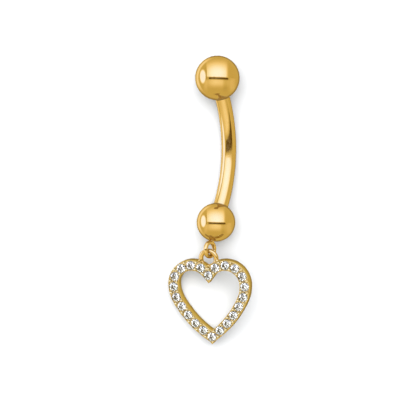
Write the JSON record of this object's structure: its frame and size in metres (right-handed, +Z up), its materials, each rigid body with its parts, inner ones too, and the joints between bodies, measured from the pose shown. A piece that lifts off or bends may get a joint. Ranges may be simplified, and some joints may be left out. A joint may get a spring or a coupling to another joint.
{
  "type": "navel ring",
  "caption": "Curved navel barbell in polished yellow gold with screw-on balls and an open heart drop set with clear stones, lying flat.",
  "frame": {"origin": "on the surface that it lies on, under the middle of the whole thing", "axes": "+Z up from the surface, +Y from the heart towards the top ball, +X towards the side to which the bar bulges"},
  "size_m": [0.0082, 0.0282, 0.0044],
  "materials": {
    "gold": "polished yellow gold, 14 karat",
    "stone": "clear, facet cut and polished"
  },
  "bodies": {
    "barbell": {"bar": "gold", "drop_ball": "gold", "heart_frame": "gold", "stone_01": "stone", "stone_02": "stone", "stone_03": "stone", "stone_04": "stone", "stone_05": "stone", "stone_06": "stone", "stone_07": "stone", "stone_08": "stone", "stone_09": "stone", "stone_10": "stone", "stone_11": "stone", "stone_12": "stone", "stone_13": "stone", "stone_14": "stone", "stone_15": "stone", "stone_16": "stone", "stone_17": "stone", "stone_18": "stone", "stone_19": "stone", "stone_20": "stone", "stone_21": "stone", "stone_22": "stone"},
    "top_ball": {"top_ball": "gold"}
  },
  "joints": [
    {"name": "top_ball_off", "type": "slide", "parent": "barbell", "child": "top_ball", "axis": [-0.2407, 0.9267, 0.2887], "range_m": [0, 0.004]}
  ]
}
